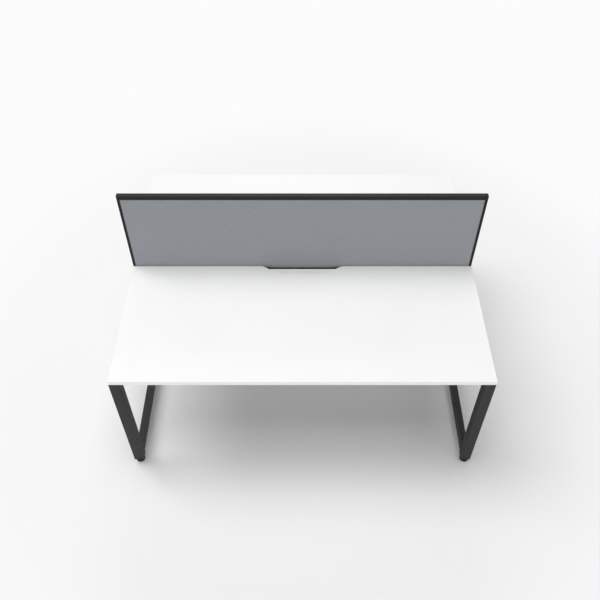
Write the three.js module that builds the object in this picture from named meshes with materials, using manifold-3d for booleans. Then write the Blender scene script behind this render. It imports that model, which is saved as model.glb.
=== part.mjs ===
// Bench desk for two people who face each other across an upholstered screen.
// Millimetres, +Z up. The origin is on the floor under the middle of the desk.
// +X runs along the desk, and the two users sit at -Y (front) and +Y (rear).

import * as THREE from "three";
import { mergeVertices } from "three/addons/utils/BufferGeometryUtils.js";
import Module from "manifold-3d";

// Worktops: one edged board for each user, with a cable scallop in its inner edge
const DESK_LENGTH = 1800;
const DESK_HEIGHT = 750;
const TOP_DEPTH = 746.5;
const TOP_THICKNESS = 25;
const EDGE_BAND = 2;
const SCALLOP_WIDTH = 416;
const SCALLOP_FLOOR_WIDTH = 266;
const SCALLOP_DEPTH = 52;
const SCALLOP_OUTER_RADIUS = 20;
const SCALLOP_INNER_RADIUS = 160;

// End frames: square posts, with flat rails welded between them at floor and desk level and set back
// a little from the posts' inner faces
const POST_SIDE = 50;
const POST_WALL = 1.5;
const POST_CAP = 3;
const RAIL_WIDTH = 30;
const RAIL_HEIGHT = 70;
const RAIL_WALL = 1.5;
const RAIL_INNER_SETBACK = 4;
const TUBE_CORNER_RADIUS = 2;

// Beams along the desk, with end plates that bolt to the upper rails
const BEAM_WIDTH = 30;
const BEAM_HEIGHT = 50;
const BEAM_WALL = 1.5;
const OUTER_BEAM_SETBACK = 150;
const INNER_BEAM_SETBACK = 110;
const END_PLATE_LENGTH = 100;
const END_PLATE_THICKNESS = 4;
const END_PLATE_BOLT_MARGIN = 15;
const VENT_DIAMETER = 12;

// Tabs welded to the beams, through which screws hold the tops
const TAB_COUNT = 4;
const TAB_END_SETBACK = 200;
const TAB_LENGTH = 30;
const TAB_REACH = 25;
const TAB_THICKNESS = 3;
const TAB_DROP = 2;
const TOP_SCREW_DIAMETER = 5;

// Button-head bolts that hold the end plates
const BEAM_BOLT_DIAMETER = 8;
const BEAM_BOLT_HEAD_DIAMETER = 14;
const BEAM_BOLT_HEAD_HEIGHT = 4.4;
const BEAM_BOLT_REACH = 12;
const BEAM_BOLT_SOCKET = 5.5;

// Levelling feet: a moulded pad on a threaded stud, in a plug at the foot of each post
const FOOT_HEIGHT = 30;
const FOOT_DIAMETER = 46;
const FOOT_RIM_HEIGHT = 10;
const FOOT_RIM_CHAMFER = 1.5;
const FOOT_CONE_HEIGHT = 6;
const FOOT_COLLAR_DIAMETER = 26;
const STUD_DIAMETER = 10;
const STUD_CHAMFER = 1;
const STUD_SEAT_DEPTH = 14;
const STUD_RISE = 36;
const PLUG_HEIGHT = 30;

// Screen between the tops: a grooved frame round a board with fabric on both faces
const SCREEN_END_INSET = 2.5;
const SCREEN_HEIGHT = 500;
const SCREEN_THICKNESS = 25;
const SCREEN_SIDE_GAP = 1;
const SCREEN_TOP_RAIL = 22;
const SCREEN_STILE = 14;
const SCREEN_BOTTOM_RAIL = 10;
const SCREEN_WEB = 3;
const SCREEN_FLANGE = 1.5;
const FABRIC_THICKNESS = 3.2;
const CORNER_KEY_LEG = 70;
const CORNER_KEY_THICKNESS = 3;

// Bridge plates under both tops, on which the screen stands
const BRACKET_END_SETBACK = 300;
const BRACKET_WIDTH = 60;
const BRACKET_THICKNESS = 3;
const BRACKET_BEAM_CLEARANCE = 10;
const BRACKET_CORNER_RADIUS = 8;
const BRACKET_SCREW_MARGIN = 15;
const BRACKET_BOLT_DIAMETER = 6;
const BRACKET_BOLT_HEAD_DIAMETER = 11;
const BRACKET_BOLT_HEAD_HEIGHT = 3.3;
const BRACKET_BOLT_REACH = 3;
const BRACKET_BOLT_SOCKET = 4;

// Clearance between any two pieces that touch, and round every bolt and stud
const FIT = 0.3;

// How far a cutting tool runs past each face of the wall that it cuts
const CUT_OVERRUN = 3;

// Facets of round shapes
const CORNER_SEGMENTS = 1;
const SCALLOP_SEGMENTS = 5;
const FOOT_SEGMENTS = 24;
const BOLT_SEGMENTS = 8;
const HOLE_SEGMENTS = 10;

// Levels and lines shared by several pieces
const TOP_GAP = SCREEN_THICKNESS + 2 * SCREEN_SIDE_GAP;
const DESK_DEPTH = 2 * TOP_DEPTH + TOP_GAP;
const TOP_UNDERSIDE = DESK_HEIGHT - TOP_THICKNESS;
const FRAME_TOP = TOP_UNDERSIDE - FIT;
const POST_X = (DESK_LENGTH - POST_SIDE) / 2;
const POST_Y = (DESK_DEPTH - POST_SIDE) / 2;
const RAIL_LENGTH = DESK_DEPTH - 2 * POST_SIDE - 2 * FIT;
const RAIL_INNER_X = POST_X - POST_SIDE / 2 + RAIL_INNER_SETBACK;
const RAIL_X = RAIL_INNER_X + RAIL_WIDTH / 2;
const UPPER_RAIL_Z = FRAME_TOP - RAIL_HEIGHT / 2;
const FLOOR_RAIL_Z = FOOT_HEIGHT + RAIL_HEIGHT / 2;
const BEAM_Z = FRAME_TOP - BEAM_HEIGHT / 2;
const BEAM_LENGTH = 2 * (RAIL_INNER_X - FIT);
const BOLT_SPREAD = END_PLATE_LENGTH / 2 - END_PLATE_BOLT_MARGIN;
const SCREEN_LENGTH = DESK_LENGTH - 2 * SCREEN_END_INSET;
const SCREEN_BASE = TOP_UNDERSIDE;
const BRACKET_X = DESK_LENGTH / 2 - BRACKET_END_SETBACK;
const BRACKET_TOP = TOP_UNDERSIDE - FIT;
const BRACKET_REACH = TOP_GAP / 2 + INNER_BEAM_SETBACK - BEAM_WIDTH / 2 - BRACKET_BEAM_CLEARANCE;

// The two ends, the two users' sides and the beams under the tops
const ENDS = [
  { name: "left", sign: -1 },
  { name: "right", sign: 1 },
];
const SIDES = [
  { name: "front", sign: -1 },
  { name: "rear", sign: 1 },
];
const BEAMS = [
  { name: "outer", y: DESK_DEPTH / 2 - OUTER_BEAM_SETBACK, tabSign: -1 },
  { name: "inner", y: TOP_GAP / 2 + INNER_BEAM_SETBACK, tabSign: 1 },
];

const FINISHES = {
  laminate: { color: 0xf1f1ef, roughness: 0.45, metalness: 0 },
  edging: { color: 0xe9e9e7, roughness: 0.4, metalness: 0 },
  powder: { color: 0x2c2c2e, roughness: 0.5, metalness: 0.1 },
  frame: { color: 0x2a2b2d, roughness: 0.4, metalness: 0.3 },
  fabric: { color: 0x8a8d91, roughness: 0.95, metalness: 0 },
  board: { color: 0xb79f7c, roughness: 0.9, metalness: 0 },
  plastic: { color: 0x1b1b1c, roughness: 0.55, metalness: 0 },
  zinc: { color: 0xb9bcc0, roughness: 0.35, metalness: 0.9 },
};

const wasm = await Module();
wasm.setup();
const MERGE_DISTANCE = 1e-3;

// A closed geometry as a solid that can be joined and cut
function solidOf(geometry) {
  const bare = geometry.clone();
  bare.deleteAttribute("normal");
  bare.deleteAttribute("uv");
  const merged = mergeVertices(bare, MERGE_DISTANCE);
  const mesh = new wasm.Mesh({
    numProp: 3,
    vertProperties: merged.attributes.position.array,
    triVerts: new Uint32Array(merged.index.array),
  });
  return new wasm.Manifold(mesh);
}

function geometryOf(solid) {
  const mesh = solid.getMesh();
  const geometry = new THREE.BufferGeometry();
  geometry.setAttribute("position", new THREE.BufferAttribute(mesh.vertProperties, 3));
  geometry.setIndex(new THREE.BufferAttribute(mesh.triVerts, 1));
  geometry.computeVertexNormals();
  return geometry;
}

function cut(geometry, tools) {
  let solid = solidOf(geometry);
  for (const tool of tools) {
    solid = solid.subtract(solidOf(tool));
  }
  return geometryOf(solid);
}

function join(geometries) {
  let solid = solidOf(geometries[0]);
  for (const other of geometries.slice(1)) {
    solid = solid.add(solidOf(other));
  }
  return geometryOf(solid);
}

function mesh(name, geometry, finish) {
  const piece = new THREE.Mesh(geometry, new THREE.MeshStandardMaterial(FINISHES[finish]));
  piece.name = name;
  return piece;
}

// Outlines

function roundedRectangle(path, width, height, radius) {
  const x = width / 2 - radius;
  const y = height / 2 - radius;
  path.absarc(x, y, radius, 0, Math.PI / 2, false);
  path.absarc(-x, y, radius, Math.PI / 2, Math.PI, false);
  path.absarc(-x, -y, radius, Math.PI, 1.5 * Math.PI, false);
  path.absarc(x, -y, radius, 1.5 * Math.PI, 2 * Math.PI, false);
  path.closePath();
  return path;
}

// A round hole as a polygon whose flats, not its corners, lie on the circle
function roundHole(x, y, diameter) {
  const radius = diameter / 2 / Math.cos(Math.PI / HOLE_SEGMENTS);
  const points = [];
  for (let i = 0; i < HOLE_SEGMENTS; i++) {
    const angle = (2 * Math.PI * i) / HOLE_SEGMENTS;
    points.push(new THREE.Vector2(x + radius * Math.cos(angle), y + radius * Math.sin(angle)));
  }
  return new THREE.Path(points);
}

// A worktop seen from above, its user's edge on y = 0, drawn in by an inset
function topOutline(path, inset) {
  const halfLength = DESK_LENGTH / 2 - inset;
  const innerEdge = TOP_DEPTH - inset;
  const slope = Math.atan2(SCALLOP_DEPTH, (SCALLOP_WIDTH - SCALLOP_FLOOR_WIDTH) / 2);
  const tangent = Math.tan(slope / 2);
  const right = Math.PI / 2;
  const outerX = SCALLOP_WIDTH / 2 + SCALLOP_OUTER_RADIUS * tangent;
  const outerY = TOP_DEPTH - SCALLOP_OUTER_RADIUS;
  const outerRadius = SCALLOP_OUTER_RADIUS - inset;
  const innerX = SCALLOP_FLOOR_WIDTH / 2 - SCALLOP_INNER_RADIUS * tangent;
  const innerY = TOP_DEPTH - SCALLOP_DEPTH + SCALLOP_INNER_RADIUS;
  const innerRadius = SCALLOP_INNER_RADIUS + inset;
  path.moveTo(-halfLength, inset);
  path.lineTo(halfLength, inset);
  path.lineTo(halfLength, innerEdge);
  path.absarc(outerX, outerY, outerRadius, right, right + slope, false);
  path.absarc(innerX, innerY, innerRadius, slope - right, -right, true);
  path.absarc(-innerX, innerY, innerRadius, -right, -right - slope, true);
  path.absarc(-outerX, outerY, outerRadius, right - slope, right, false);
  path.lineTo(-halfLength, innerEdge);
  path.closePath();
  return path;
}

// Stock shapes

function extrude(shape, depth, curveSegments) {
  return new THREE.ExtrudeGeometry(shape, { depth, curveSegments, bevelEnabled: false });
}

// The corner radius inside a tube, kept above zero on a thick wall
function boreRadius(wall) {
  return Math.max(TUBE_CORNER_RADIUS - wall, FIT);
}

// An open square or flat tube along +Z, its section centred on the axis
function tube(width, height, wall, length) {
  const shape = roundedRectangle(new THREE.Shape(), width, height, TUBE_CORNER_RADIUS);
  const bore = new THREE.Path();
  shape.holes.push(roundedRectangle(bore, width - 2 * wall, height - 2 * wall, boreRadius(wall)));
  return extrude(shape, length, CORNER_SEGMENTS);
}

// Turns what was drawn along +Z to run along Y or X, keeping the section's height upright
function alongY(geometry, length) {
  return geometry.rotateX(Math.PI / 2).translate(0, length / 2, 0);
}

function alongX(geometry, length) {
  return geometry.rotateX(Math.PI / 2).rotateZ(Math.PI / 2).translate(-length / 2, 0, 0);
}

// A shape turned about the Z axis from points of radius and height
function turned(points, segments) {
  const profile = points.map(([radius, height]) => new THREE.Vector2(radius, height));
  return new THREE.LatheGeometry(profile, segments).rotateX(Math.PI / 2);
}

function holeTool(diameter, length) {
  const radius = diameter / 2 / Math.cos(Math.PI / HOLE_SEGMENTS);
  return new THREE.CylinderGeometry(radius, radius, length, HOLE_SEGMENTS);
}

// A button-head bolt with its head above z = 0, its shank below and a socket half as deep as the head
function bolt(diameter, headDiameter, headHeight, socketDiameter, shank) {
  const radius = diameter / 2;
  const headRadius = headDiameter / 2;
  const socketRadius = socketDiameter / 2;
  const midHeight = headHeight / 2;
  const crownRadius = (headRadius + socketRadius) / 2;
  return turned(
    [
      [0, -shank],
      [radius, -shank],
      [radius, 0],
      [headRadius, 0],
      [headRadius, midHeight],
      [crownRadius, headHeight],
      [socketRadius, headHeight],
      [socketRadius, midHeight],
      [0, midHeight],
    ],
    BOLT_SEGMENTS,
  );
}

// Worktops

function worktop(side) {
  const group = new THREE.Group();
  const band = topOutline(new THREE.Shape(), 0);
  band.holes.push(topOutline(new THREE.Path(), EDGE_BAND));
  const board = topOutline(new THREE.Shape(), EDGE_BAND + FIT);
  const boardGeometry = extrude(board, TOP_THICKNESS, SCALLOP_SEGMENTS);
  const bandGeometry = extrude(band, TOP_THICKNESS, SCALLOP_SEGMENTS);
  for (const geometry of [boardGeometry, bandGeometry]) {
    geometry.translate(0, -DESK_DEPTH / 2, TOP_UNDERSIDE);
  }
  group.add(mesh(`${side.name}_worktop_board`, boardGeometry, "laminate"));
  group.add(mesh(`${side.name}_worktop_edging`, bandGeometry, "edging"));
  group.rotation.z = side.sign > 0 ? Math.PI : 0;
  return group;
}

// End frames

function post() {
  const length = FRAME_TOP - FOOT_HEIGHT;
  const cap = roundedRectangle(new THREE.Shape(), POST_SIDE, POST_SIDE, TUBE_CORNER_RADIUS);
  const capGeometry = extrude(cap, POST_CAP, CORNER_SEGMENTS).translate(0, 0, length - POST_CAP);
  const body = join([tube(POST_SIDE, POST_SIDE, POST_WALL, length), capGeometry]);
  return body.translate(0, 0, FOOT_HEIGHT);
}

function rail() {
  return alongY(tube(RAIL_WIDTH, RAIL_HEIGHT, RAIL_WALL, RAIL_LENGTH), RAIL_LENGTH);
}

// Clearance holes through the wall that faces the beams
function upperRail(end) {
  const tools = [];
  for (const side of SIDES) {
    for (const beam of BEAMS) {
      for (const spread of [-BOLT_SPREAD, BOLT_SPREAD]) {
        const length = RAIL_WALL + 2 * CUT_OVERRUN;
        const tool = holeTool(BEAM_BOLT_DIAMETER + 2 * FIT, length).rotateZ(Math.PI / 2);
        const inward = (-end.sign * (RAIL_WIDTH - RAIL_WALL)) / 2;
        tools.push(tool.translate(inward, side.sign * beam.y + spread, BEAM_Z - UPPER_RAIL_Z));
      }
    }
  }
  return cut(rail(), tools);
}

function endFrame(end) {
  const group = new THREE.Group();
  for (const side of SIDES) {
    const piece = mesh(`${end.name}_${side.name}_post`, post(), "powder");
    piece.position.set(end.sign * POST_X, side.sign * POST_Y, 0);
    group.add(piece);
  }
  const floorRail = mesh(`${end.name}_floor_rail`, rail(), "powder");
  floorRail.position.set(end.sign * RAIL_X, 0, FLOOR_RAIL_Z);
  const deskRail = mesh(`${end.name}_upper_rail`, upperRail(end), "powder");
  deskRail.position.set(end.sign * RAIL_X, 0, UPPER_RAIL_Z);
  group.add(floorRail, deskRail);
  return group;
}

// Beams

function endPlate() {
  const shape = roundedRectangle(
    new THREE.Shape(),
    END_PLATE_LENGTH,
    BEAM_HEIGHT,
    TUBE_CORNER_RADIUS,
  );
  for (const spread of [-BOLT_SPREAD, BOLT_SPREAD]) {
    shape.holes.push(roundHole(spread, 0, BEAM_BOLT_DIAMETER + 2 * FIT));
  }
  shape.holes.push(roundHole(0, 0, VENT_DIAMETER));
  return alongX(extrude(shape, END_PLATE_THICKNESS, CORNER_SEGMENTS), END_PLATE_THICKNESS);
}

// A tab rooted in the beam's side wall, a little below its top so that the screw pulls the top tight
function fixingTab(sign) {
  const root = BEAM_WIDTH / 2 - BEAM_WALL / 2;
  const tip = BEAM_WIDTH / 2 + TAB_REACH;
  const shape = new THREE.Shape();
  shape.moveTo(-TAB_LENGTH / 2, root);
  shape.lineTo(TAB_LENGTH / 2, root);
  shape.lineTo(TAB_LENGTH / 2, tip);
  shape.lineTo(-TAB_LENGTH / 2, tip);
  shape.closePath();
  shape.holes.push(roundHole(0, tip - TAB_REACH / 2, TOP_SCREW_DIAMETER + 2 * FIT));
  const tab = extrude(shape, TAB_THICKNESS, 1);
  const turn = sign > 0 ? 0 : Math.PI;
  return tab.rotateZ(turn).translate(0, 0, BEAM_HEIGHT / 2 - TAB_DROP - TAB_THICKNESS);
}

// The beam's tube with its end plates and tabs, the tabs on the side that tabSign points to
function beamWeldment(tabSign) {
  const plateX = (BEAM_LENGTH - END_PLATE_THICKNESS) / 2;
  const pieces = [
    alongX(tube(BEAM_WIDTH, BEAM_HEIGHT, BEAM_WALL, BEAM_LENGTH), BEAM_LENGTH),
    endPlate().translate(-plateX, 0, 0),
    endPlate().translate(plateX, 0, 0),
  ];
  const span = BEAM_LENGTH - 2 * TAB_END_SETBACK;
  for (let i = 0; i < TAB_COUNT; i++) {
    const x = (i / (TAB_COUNT - 1) - 0.5) * span;
    pieces.push(fixingTab(tabSign).translate(x, 0, 0));
  }
  return join(pieces);
}

function beamBolt(end) {
  const shank = FIT + END_PLATE_THICKNESS + FIT + RAIL_WALL + BEAM_BOLT_REACH;
  const body = bolt(
    BEAM_BOLT_DIAMETER,
    BEAM_BOLT_HEAD_DIAMETER,
    BEAM_BOLT_HEAD_HEIGHT,
    BEAM_BOLT_SOCKET,
    shank,
  );
  return body.rotateY((-end.sign * Math.PI) / 2);
}

function beamSet(side, beam) {
  const group = new THREE.Group();
  const name = `${side.name}_${beam.name}_beam`;
  group.add(mesh(name, beamWeldment(side.sign * beam.tabSign), "powder"));
  const headX = BEAM_LENGTH / 2 - END_PLATE_THICKNESS - FIT;
  for (const end of ENDS) {
    for (const [label, spread] of [["a", -BOLT_SPREAD], ["b", BOLT_SPREAD]]) {
      const piece = mesh(`${name}_${end.name}_bolt_${label}`, beamBolt(end), "zinc");
      piece.position.set(end.sign * headX, spread, 0);
      group.add(piece);
    }
  }
  group.position.set(0, side.sign * beam.y, BEAM_Z);
  return group;
}

// Levelling feet

function footPad() {
  const radius = FOOT_DIAMETER / 2;
  const collar = FOOT_COLLAR_DIAMETER / 2;
  const seat = STUD_DIAMETER / 2 + FIT;
  const top = FOOT_HEIGHT - FIT;
  return turned(
    [
      [0, 0],
      [radius - FOOT_RIM_CHAMFER, 0],
      [radius, FOOT_RIM_CHAMFER],
      [radius, FOOT_RIM_HEIGHT - FOOT_RIM_CHAMFER],
      [radius - FOOT_RIM_CHAMFER, FOOT_RIM_HEIGHT],
      [collar, FOOT_RIM_HEIGHT + FOOT_CONE_HEIGHT],
      [collar, top],
      [seat, top],
      [seat, top - STUD_SEAT_DEPTH],
      [0, top - STUD_SEAT_DEPTH],
    ],
    FOOT_SEGMENTS,
  );
}

function footStud() {
  const radius = STUD_DIAMETER / 2;
  const base = FOOT_HEIGHT - STUD_SEAT_DEPTH;
  const top = FOOT_HEIGHT + STUD_RISE;
  return turned(
    [
      [0, base],
      [radius, base],
      [radius, top - STUD_CHAMFER],
      [radius - STUD_CHAMFER, top],
      [0, top],
    ],
    FOOT_SEGMENTS,
  );
}

function postPlug() {
  const side = POST_SIDE - 2 * POST_WALL - 2 * FIT;
  const shape = roundedRectangle(new THREE.Shape(), side, side, boreRadius(POST_WALL));
  shape.holes.push(roundHole(0, 0, STUD_DIAMETER + 2 * FIT));
  return extrude(shape, PLUG_HEIGHT, CORNER_SEGMENTS).translate(0, 0, FOOT_HEIGHT);
}

function foot(end, side) {
  const group = new THREE.Group();
  const name = `${end.name}_${side.name}`;
  group.add(mesh(`${name}_post_plug`, postPlug(), "plastic"));
  group.add(mesh(`${name}_foot_stud`, footStud(), "zinc"));
  group.add(mesh(`${name}_foot_pad`, footPad(), "plastic"));
  group.position.set(end.sign * POST_X, side.sign * POST_Y, 0);
  return group;
}

// Screen: drawn in front elevation, x along the desk and y up, then turned upright

const GROOVE_WIDTH = SCREEN_THICKNESS - 2 * SCREEN_FLANGE;
const INFILL_MARGIN = SCREEN_WEB + CORNER_KEY_THICKNESS + 2 * FIT;
const KEY_MARGIN = SCREEN_WEB + FIT;
const INFILL_LENGTH = SCREEN_LENGTH - 2 * INFILL_MARGIN;
const INFILL_HEIGHT = SCREEN_HEIGHT - 2 * INFILL_MARGIN;
const INFILL_THICKNESS = GROOVE_WIDTH - 2 * FIT;
const CORE_THICKNESS = INFILL_THICKNESS - 2 * FABRIC_THICKNESS - 2 * FIT;

// An outline in elevation as a slab of the given thickness, centred on the screen's plane
function upright(points, thickness) {
  const shape = new THREE.Shape(points.map(([x, y]) => new THREE.Vector2(x, y)));
  return alongY(extrude(shape, thickness, 1), thickness);
}

// Each frame member is mitred where it meets its neighbours and grooved on its inner edge
function screenRail(isTop) {
  const half = SCREEN_LENGTH / 2 - FIT;
  const face = isTop ? SCREEN_TOP_RAIL : SCREEN_BOTTOM_RAIL;
  const outer = isTop ? SCREEN_HEIGHT : 0;
  const inward = isTop ? -1 : 1;
  const inner = outer + inward * face;
  const corners = [
    [-half, outer],
    [-half + SCREEN_STILE, inner],
    [half - SCREEN_STILE, inner],
    [half, outer],
  ];
  const slab = upright(isTop ? corners : corners.reverse(), SCREEN_THICKNESS);
  const groove = new THREE.BoxGeometry(SCREEN_LENGTH, GROOVE_WIDTH, 2 * (face - SCREEN_WEB));
  const tools = [groove.translate(0, 0, inner)];
  if (!isTop) {
    for (const end of ENDS) {
      const length = SCREEN_WEB + 2 * CUT_OVERRUN;
      const hole = holeTool(BRACKET_BOLT_DIAMETER + 2 * FIT, length).rotateX(Math.PI / 2);
      tools.push(hole.translate(end.sign * BRACKET_X, 0, SCREEN_WEB / 2));
    }
  }
  return cut(slab, tools);
}

function screenStile(end) {
  const outer = (end.sign * SCREEN_LENGTH) / 2;
  const inner = outer - end.sign * SCREEN_STILE;
  const corners = [
    [outer, 0],
    [outer, SCREEN_HEIGHT],
    [inner, SCREEN_HEIGHT - SCREEN_TOP_RAIL],
    [inner, SCREEN_BOTTOM_RAIL],
  ];
  const slab = upright(end.sign > 0 ? corners : corners.reverse(), SCREEN_THICKNESS);
  const depth = 2 * (SCREEN_STILE - SCREEN_WEB);
  const groove = new THREE.BoxGeometry(depth, GROOVE_WIDTH, 2 * SCREEN_HEIGHT);
  return cut(slab, [groove.translate(inner, 0, SCREEN_HEIGHT / 2)]);
}

// An L-shaped key in the channel between the infill's edge and the frame's web
function cornerKey(end, isTop) {
  const x = end.sign * (SCREEN_LENGTH / 2 - KEY_MARGIN);
  const y = isTop ? SCREEN_HEIGHT - KEY_MARGIN : KEY_MARGIN;
  const inX = -end.sign;
  const inY = isTop ? -1 : 1;
  const corners = [
    [x, y],
    [x + inX * CORNER_KEY_LEG, y],
    [x + inX * CORNER_KEY_LEG, y + inY * CORNER_KEY_THICKNESS],
    [x + inX * CORNER_KEY_THICKNESS, y + inY * CORNER_KEY_THICKNESS],
    [x + inX * CORNER_KEY_THICKNESS, y + inY * CORNER_KEY_LEG],
    [x, y + inY * CORNER_KEY_LEG],
  ];
  return upright(inX * inY > 0 ? corners : corners.reverse(), INFILL_THICKNESS);
}

function infillLayer(thickness, y) {
  const layer = new THREE.BoxGeometry(INFILL_LENGTH, thickness, INFILL_HEIGHT);
  return layer.translate(0, y, SCREEN_HEIGHT / 2);
}

function screen() {
  const group = new THREE.Group();
  group.add(mesh("screen_top_rail", screenRail(true), "frame"));
  group.add(mesh("screen_bottom_rail", screenRail(false), "frame"));
  for (const end of ENDS) {
    group.add(mesh(`screen_${end.name}_stile`, screenStile(end), "frame"));
    group.add(mesh(`screen_${end.name}_top_key`, cornerKey(end, true), "zinc"));
    group.add(mesh(`screen_${end.name}_bottom_key`, cornerKey(end, false), "zinc"));
  }
  group.add(mesh("screen_core_board", infillLayer(CORE_THICKNESS, 0), "board"));
  const fabricY = (INFILL_THICKNESS - FABRIC_THICKNESS) / 2;
  for (const side of SIDES) {
    const layer = infillLayer(FABRIC_THICKNESS, side.sign * fabricY);
    group.add(mesh(`screen_${side.name}_fabric`, layer, "fabric"));
  }
  group.position.z = SCREEN_BASE;
  return group;
}

// Bridge plates that carry the screen

function bridgePlate() {
  const shape = roundedRectangle(
    new THREE.Shape(),
    BRACKET_WIDTH,
    2 * BRACKET_REACH,
    BRACKET_CORNER_RADIUS,
  );
  shape.holes.push(roundHole(0, 0, BRACKET_BOLT_DIAMETER + 2 * FIT));
  const screwX = BRACKET_WIDTH / 2 - BRACKET_SCREW_MARGIN;
  const screwY = BRACKET_REACH - BRACKET_SCREW_MARGIN;
  for (const x of [-screwX, screwX]) {
    for (const y of [-screwY, screwY]) {
      shape.holes.push(roundHole(x, y, TOP_SCREW_DIAMETER + 2 * FIT));
    }
  }
  return extrude(shape, BRACKET_THICKNESS, CORNER_SEGMENTS).translate(0, 0, -BRACKET_THICKNESS);
}

function bracketBolt() {
  const shank = FIT + BRACKET_THICKNESS + FIT + SCREEN_WEB + BRACKET_BOLT_REACH;
  const body = bolt(
    BRACKET_BOLT_DIAMETER,
    BRACKET_BOLT_HEAD_DIAMETER,
    BRACKET_BOLT_HEAD_HEIGHT,
    BRACKET_BOLT_SOCKET,
    shank,
  );
  return body.rotateX(Math.PI).translate(0, 0, -BRACKET_THICKNESS - FIT);
}

function screenBracket(end) {
  const group = new THREE.Group();
  group.add(mesh(`${end.name}_screen_bracket`, bridgePlate(), "powder"));
  group.add(mesh(`${end.name}_screen_bracket_bolt`, bracketBolt(), "zinc"));
  group.position.set(end.sign * BRACKET_X, 0, BRACKET_TOP);
  return group;
}

// The whole desk

const desk = new THREE.Group();
for (const side of SIDES) {
  desk.add(worktop(side));
  for (const beam of BEAMS) {
    desk.add(beamSet(side, beam));
  }
}
for (const end of ENDS) {
  desk.add(endFrame(end));
  for (const side of SIDES) {
    desk.add(foot(end, side));
  }
  desk.add(screenBracket(end));
}
desk.add(screen());

export default desk;
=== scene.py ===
"""Looks of a bench desk for two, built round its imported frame. Metres, +Z up, front user at -Y."""

import math

import bmesh
import bpy
import numpy as np
from mathutils import Matrix, Vector


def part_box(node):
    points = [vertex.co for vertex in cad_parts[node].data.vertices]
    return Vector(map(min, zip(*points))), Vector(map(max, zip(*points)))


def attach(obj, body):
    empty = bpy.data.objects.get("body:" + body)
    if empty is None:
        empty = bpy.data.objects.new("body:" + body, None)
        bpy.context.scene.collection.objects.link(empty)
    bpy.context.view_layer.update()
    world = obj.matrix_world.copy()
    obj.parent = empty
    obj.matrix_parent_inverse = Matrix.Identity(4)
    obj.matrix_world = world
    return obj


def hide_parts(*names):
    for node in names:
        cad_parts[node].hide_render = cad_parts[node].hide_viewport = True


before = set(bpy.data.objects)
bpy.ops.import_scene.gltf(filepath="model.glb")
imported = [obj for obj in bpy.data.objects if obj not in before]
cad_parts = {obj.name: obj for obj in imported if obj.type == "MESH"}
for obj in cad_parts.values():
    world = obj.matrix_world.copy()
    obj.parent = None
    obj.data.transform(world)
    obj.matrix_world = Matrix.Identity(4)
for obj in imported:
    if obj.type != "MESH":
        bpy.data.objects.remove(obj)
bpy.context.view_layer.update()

MM = 0.001
ENDS = {"left": -1, "right": 1}
SIDES = {"front": -1, "rear": 1}
BEAMS = {"outer": -1, "inner": 1}
HALF_TURN = math.pi
QUARTER_TURN = math.pi / 2

# Worktops: band width, hairline between band and board, and the easing of the band's edges
BAND_WIDTH = 2 * MM
BAND_SEAM = 0.06 * MM
BAND_ARRIS = 1.2 * MM
BAND_ARRIS_STEPS = 4
BOARD_EASE = 0.1 * MM
TOP_CORNER_RADIUS = 1.6 * MM
SCALLOP_WIDTH = 416 * MM
SCALLOP_FLOOR_WIDTH = 266 * MM
SCALLOP_DEPTH = 52 * MM
SCALLOP_OUTER_RADIUS = 20 * MM
SCALLOP_INNER_RADIUS = 160 * MM

# Steel tube, plate and weld; bulge, ripple and end leg are shares of a bead's leg
TUBE_WALL = 1.5 * MM
TUBE_CORNER_RADIUS = 2 * MM
TUBE_END_EASE = 0.4 * MM
POST_CAP = 3 * MM
BEAM_WIDTH = 30 * MM
PLATE_THICKNESS = 4 * MM
PLATE_BOLT_SPREAD = 35 * MM
PLATE_EASE = 0.4 * MM
VENT_RADIUS = 6 * MM
TAB_COUNT = 4
TAB_END_SETBACK = 200 * MM
TAB_LENGTH = 30 * MM
TAB_REACH = 25 * MM
TAB_ROOT = 0.75 * MM
TAB_THICKNESS = 3 * MM
TAB_DROP = 2 * MM
TAB_CORNER_RADIUS = 6 * MM
BRACKET_CORNER_RADIUS = 8 * MM
BRACKET_SCREW_MARGIN = 15 * MM
WELD_LEG = 3 * MM
WELD_BULGE = 0.86
WELD_RIPPLE = 0.09
WELD_RIPPLE_PITCH = 2.4 * MM
WELD_STEP = 0.5 * MM
WELD_RUN_OUT = 4 * MM
WELD_END_LEG = 0.4
WELD_SINK = 0.2 * MM

# Bolts: the radius of shank and head, the head's height and the socket's width
BEAM_BOLT = {"shank": 4 * MM, "head": 7 * MM, "height": 4.4 * MM, "socket": 5 * MM}
BRACKET_BOLT = {"shank": 3 * MM, "head": 5.5 * MM, "height": 3.3 * MM, "socket": 4 * MM}
BOLT_HOLE_CLEARANCE = 0.3 * MM
BOLT_LEAD_DEPTH = 0.15 * MM
BOLT_HEXAGON_DEPTH = 0.5 * MM
BOLT_POINT_RADIUS = 0.3 * MM
BOLT_CROWN_STEPS = 7

# The bolts' further sizes: shares of the shank's radius, the head's radius and height, the brim
# and the socket's width
BOLT_TIP_RADIUS = 0.8
BOLT_TIP_LENGTH = 0.3
BOLT_SEAT_RADIUS = 0.97
BOLT_BRIM_HEIGHT = 0.2
BOLT_SOCKET_FLOOR = 0.42
BOLT_SOCKET_POINT = 0.3
BOLT_BRIM_EASE = 0.3
BOLT_MOUTH_RADIUS = 0.66
BOLT_LEAD_RADIUS = 0.6

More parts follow.
